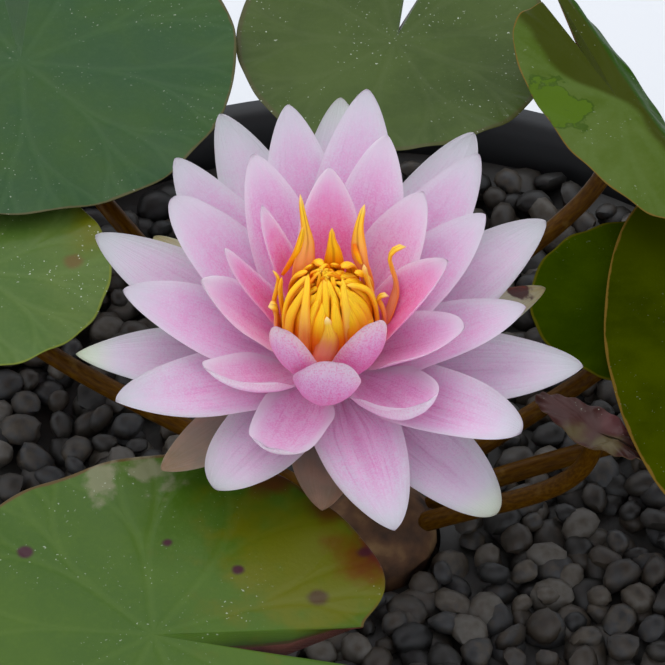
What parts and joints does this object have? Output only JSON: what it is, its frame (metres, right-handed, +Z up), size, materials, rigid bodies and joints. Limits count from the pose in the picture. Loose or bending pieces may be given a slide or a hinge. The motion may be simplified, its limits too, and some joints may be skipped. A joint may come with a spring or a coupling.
{
  "type": "dwarf water lily in a basket",
  "caption": "Round mesh pond basket of soil topped with gravel, with a water lily growing in it: notched floating leaves on bent stalks round one open, many-petalled pink flower with golden stamens",
  "frame": {"origin": "middle of the underside of the basket's flat floor", "axes": "+Z up; the flower leans a little towards -Y, the side that it is looked at from; +X to that viewer's right"},
  "size_m": [0.2571, 0.2588, 0.2198],
  "materials": {
    "basket": "satin",
    "soil": "matte",
    "gravel": "satin",
    "crown": "satin",
    "leaf_green": "satin",
    "leaf_yellow_green": "satin",
    "leaf_olive": "satin",
    "leaf_dark": "satin",
    "leaf_old": "satin",
    "leaf_stalk": "satin",
    "sepal": "matte",
    "outer_petal": "matte",
    "second_petal": "matte",
    "third_petal": "matte",
    "inner_petal": "matte",
    "stamens": "matte"
  },
  "bodies": {
    "root": {"basket": "basket", "soil": "soil", "gravel": "gravel", "crown": "crown", "pad_top_left": "leaf_green", "pad_left": "leaf_yellow_green", "pad_front_left": "leaf_yellow_green", "pad_top": "leaf_olive", "pad_top_right": "leaf_green", "pad_right": "leaf_olive", "pad_low": "leaf_dark", "pad_old": "leaf_old", "stalk_top_left": "leaf_stalk", "stalk_left": "leaf_stalk", "stalk_front_left": "leaf_stalk", "stalk_top": "leaf_stalk", "stalk_top_right": "leaf_stalk", "stalk_right": "leaf_stalk", "stalk_low": "leaf_stalk", "stalk_old": "leaf_stalk", "sepal_1": "sepal", "sepal_2": "sepal", "sepal_3": "sepal", "sepal_4": "sepal", "outer_petal_1": "outer_petal", "outer_petal_2": "outer_petal", "outer_petal_3": "outer_petal", "outer_petal_4": "outer_petal", "outer_petal_5": "outer_petal", "outer_petal_6": "outer_petal", "outer_petal_7": "outer_petal", "outer_petal_8": "outer_petal", "outer_petal_9": "outer_petal", "second_petal_1": "second_petal", "second_petal_2": "second_petal", "second_petal_3": "second_petal", "second_petal_4": "second_petal", "second_petal_5": "second_petal", "second_petal_6": "second_petal", "second_petal_7": "second_petal", "second_petal_8": "second_petal", "second_petal_9": "second_petal", "second_petal_10": "second_petal", "second_petal_11": "second_petal", "third_petal_1": "third_petal", "third_petal_2": "third_petal", "third_petal_3": "third_petal", "third_petal_4": "third_petal", "third_petal_5": "third_petal", "third_petal_6": "third_petal", "third_petal_7": "third_petal", "third_petal_8": "third_petal", "inner_petal_1": "inner_petal", "inner_petal_2": "inner_petal", "inner_petal_3": "inner_petal", "inner_petal_4": "inner_petal", "inner_petal_5": "inner_petal", "inner_petal_6": "inner_petal", "inner_petal_7": "inner_petal", "stamens": "stamens"}
  },
  "joints": []
}
